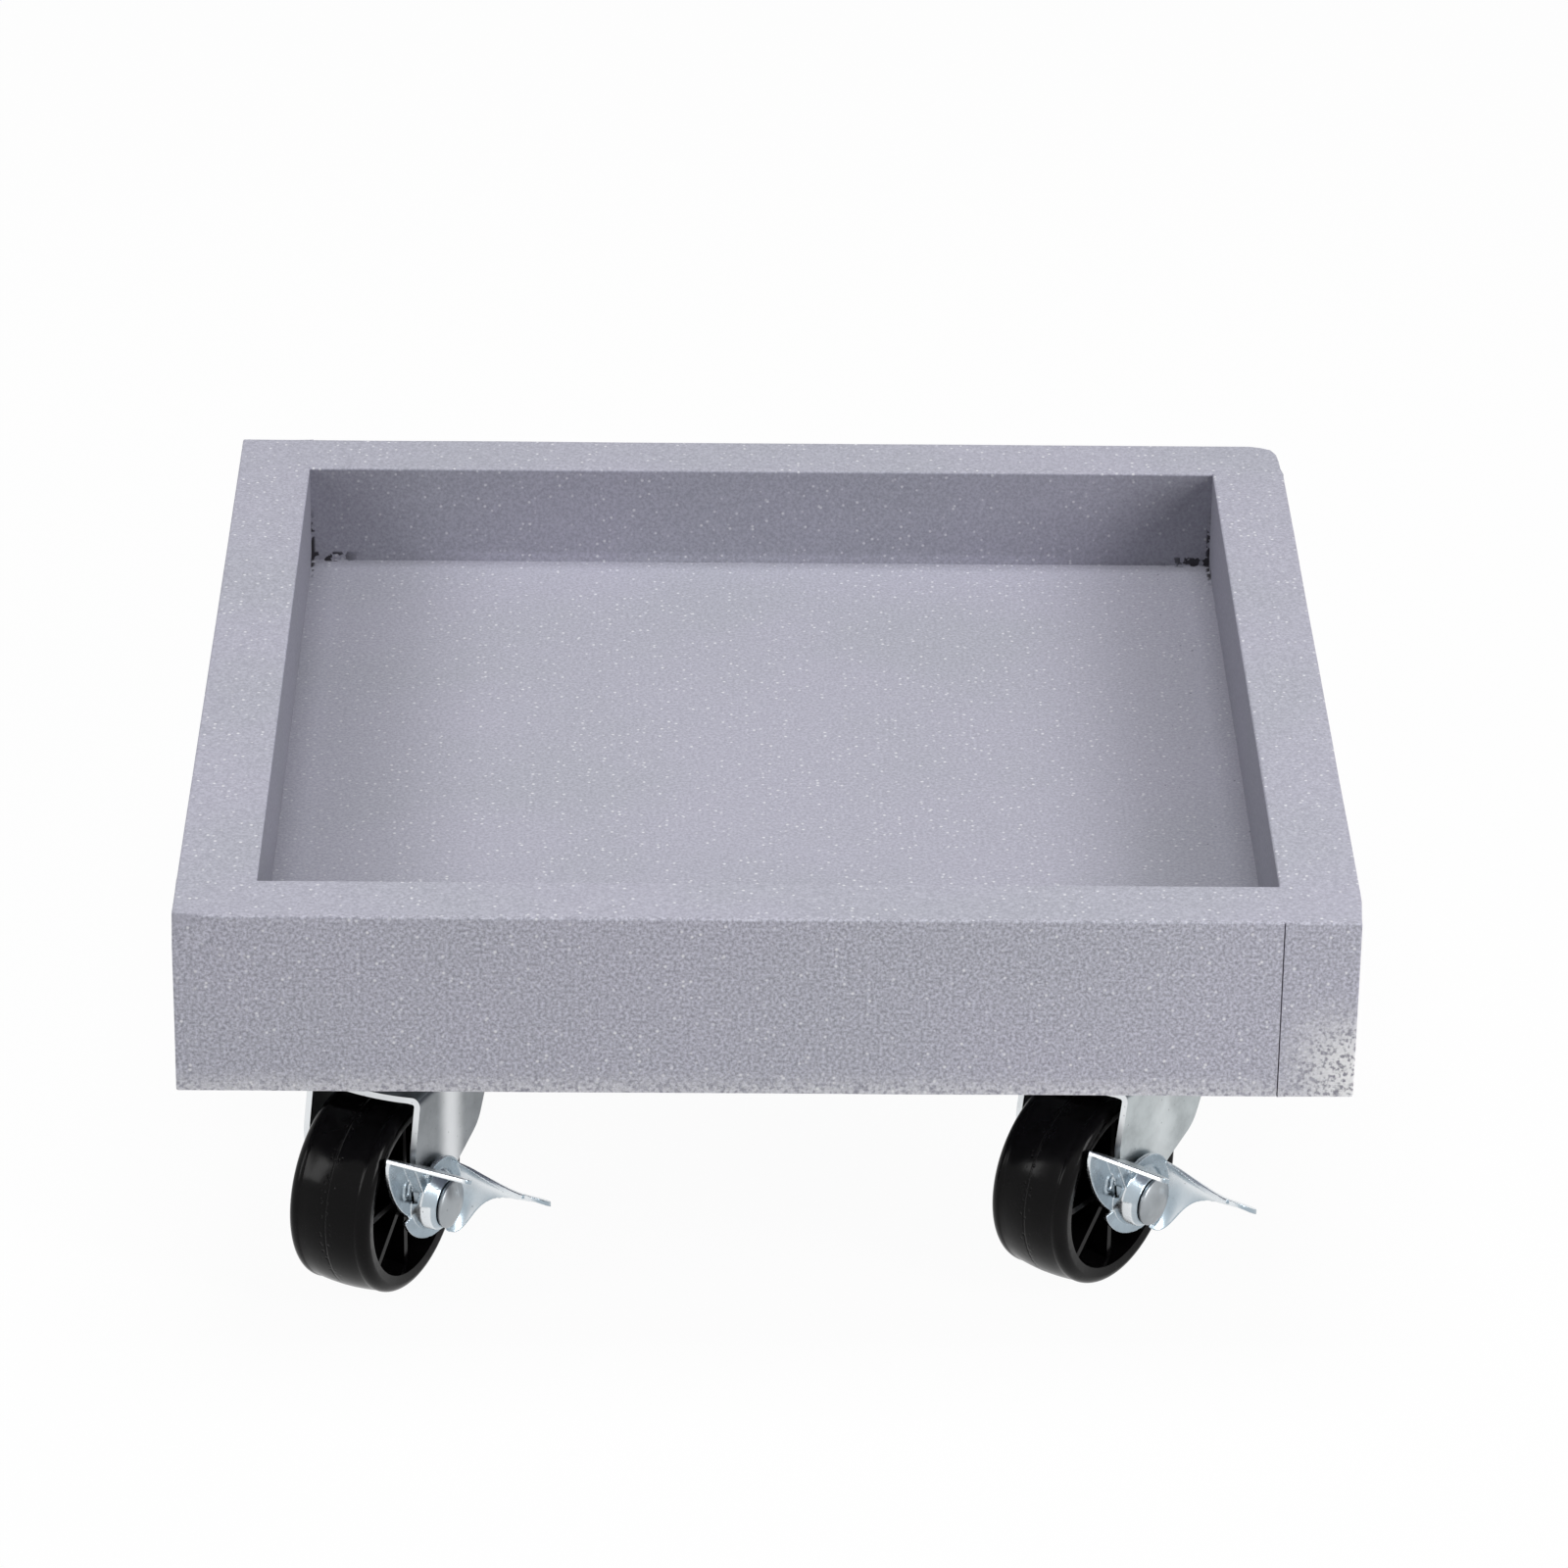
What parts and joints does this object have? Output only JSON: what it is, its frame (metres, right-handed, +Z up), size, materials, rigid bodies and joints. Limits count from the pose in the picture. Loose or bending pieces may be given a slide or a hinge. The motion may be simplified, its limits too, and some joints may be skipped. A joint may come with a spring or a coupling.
{
  "type": "rolling plant stand",
  "caption": "Low square painted tray stand with raised rim boards, rolling on small swivel casters with foot brakes at the front.",
  "frame": {"origin": "on the floor, under the middle of the tray", "axes": "+Z up, +X to the right and +Y to the back as seen in the picture, where the brakes are at the front"},
  "size_m": [0.28, 0.28, 0.1165],
  "materials": {
    "painted_board": "matte lilac-grey paint over boards",
    "beech_dowel": "raw",
    "zinc_plated_steel": "bright zinc plated, satin",
    "bearing_steel": "ground and polished",
    "spring_steel": "plain",
    "black_wheel_plastic": "moulded, semi-gloss black"
  },
  "bodies": {
    "tray": {"front_rail": "painted_board", "back_rail": "painted_board", "left_rail": "painted_board", "right_rail": "painted_board", "floor_panel": "painted_board", "corner_dowels": "beech_dowel", "panel_dowels": "beech_dowel", "caster_screws": "zinc_plated_steel", "front_left_top_plate": "zinc_plated_steel", "front_left_king_rivet": "zinc_plated_steel", "front_left_lower_race": "bearing_steel", "front_right_top_plate": "zinc_plated_steel", "front_right_king_rivet": "zinc_plated_steel", "front_right_lower_race": "bearing_steel", "rear_left_top_plate": "zinc_plated_steel", "rear_left_king_rivet": "zinc_plated_steel", "rear_left_lower_race": "bearing_steel", "rear_right_top_plate": "zinc_plated_steel", "rear_right_king_rivet": "zinc_plated_steel", "rear_right_lower_race": "bearing_steel"},
    "front_left_swivel": {"front_left_fork": "zinc_plated_steel", "front_left_axle_rivet": "zinc_plated_steel", "front_left_axle_washer": "zinc_plated_steel", "front_left_axle_sleeve": "bearing_steel", "front_left_upper_balls": "bearing_steel", "front_left_lower_balls": "bearing_steel", "front_left_brake_washer": "spring_steel"},
    "front_left_roller": {"front_left_wheel": "black_wheel_plastic"},
    "front_left_brake": {"front_left_brake_lever": "zinc_plated_steel"},
    "front_right_swivel": {"front_right_fork": "zinc_plated_steel", "front_right_axle_rivet": "zinc_plated_steel", "front_right_axle_washer": "zinc_plated_steel", "front_right_axle_sleeve": "bearing_steel", "front_right_upper_balls": "bearing_steel", "front_right_lower_balls": "bearing_steel", "front_right_brake_washer": "spring_steel"},
    "front_right_roller": {"front_right_wheel": "black_wheel_plastic"},
    "front_right_brake": {"front_right_brake_lever": "zinc_plated_steel"},
    "rear_left_swivel": {"rear_left_fork": "zinc_plated_steel", "rear_left_axle_rivet": "zinc_plated_steel", "rear_left_axle_washer": "zinc_plated_steel", "rear_left_axle_sleeve": "bearing_steel", "rear_left_upper_balls": "bearing_steel", "rear_left_lower_balls": "bearing_steel"},
    "rear_left_roller": {"rear_left_wheel": "black_wheel_plastic"},
    "rear_right_swivel": {"rear_right_fork": "zinc_plated_steel", "rear_right_axle_rivet": "zinc_plated_steel", "rear_right_axle_washer": "zinc_plated_steel", "rear_right_axle_sleeve": "bearing_steel", "rear_right_upper_balls": "bearing_steel", "rear_right_lower_balls": "bearing_steel"},
    "rear_right_roller": {"rear_right_wheel": "black_wheel_plastic"}
  },
  "joints": [
    {"name": "front_left_swivel_turn", "type": "hinge", "parent": "tray", "child": "front_left_swivel", "pos_m": [-0.0873, -0.0907, 0.06245], "axis": [0, 0, 1], "continuous": true},
    {"name": "front_left_wheel_spin", "type": "hinge", "parent": "front_left_swivel", "child": "front_left_roller", "pos_m": [-0.09488, -0.10591, 0.0254], "axis": [0.8949, -0.4462, 0], "continuous": true},
    {"name": "front_left_brake_rock", "type": "hinge", "parent": "front_left_swivel", "child": "front_left_brake", "pos_m": [-0.09488, -0.10591, 0.0254], "axis": [0.8949, -0.4462, 0], "range_deg": [0, 25]},
    {"name": "front_right_swivel_turn", "type": "hinge", "parent": "tray", "child": "front_right_swivel", "pos_m": [0.0889, -0.086, 0.06245], "axis": [0, 0, 1], "continuous": true},
    {"name": "front_right_wheel_spin", "type": "hinge", "parent": "front_right_swivel", "child": "front_right_roller", "pos_m": [0.07848, -0.09943, 0.0254], "axis": [0.7902, -0.6129, 0], "continuous": true},
    {"name": "front_right_brake_rock", "type": "hinge", "parent": "front_right_swivel", "child": "front_right_brake", "pos_m": [0.07848, -0.09943, 0.0254], "axis": [0.7902, -0.6129, 0], "range_deg": [0, 25]},
    {"name": "rear_left_swivel_turn", "type": "hinge", "parent": "tray", "child": "rear_left_swivel", "pos_m": [-0.0885, 0.0885, 0.06245], "axis": [0, 0, 1], "continuous": true},
    {"name": "rear_left_wheel_spin", "type": "hinge", "parent": "rear_left_swivel", "child": "rear_left_roller", "pos_m": [-0.09459, 0.07263, 0.0254], "axis": [0.9336, -0.3584, 0], "continuous": true},
    {"name": "rear_right_swivel_turn", "type": "hinge", "parent": "tray", "child": "rear_right_swivel", "pos_m": [0.0885, 0.0885, 0.06245], "axis": [0, 0, 1], "continuous": true},
    {"name": "rear_right_wheel_spin", "type": "hinge", "parent": "rear_right_swivel", "child": "rear_right_roller", "pos_m": [0.07924, 0.07424, 0.0254], "axis": [0.8387, -0.5446, 0], "continuous": true}
  ]
}
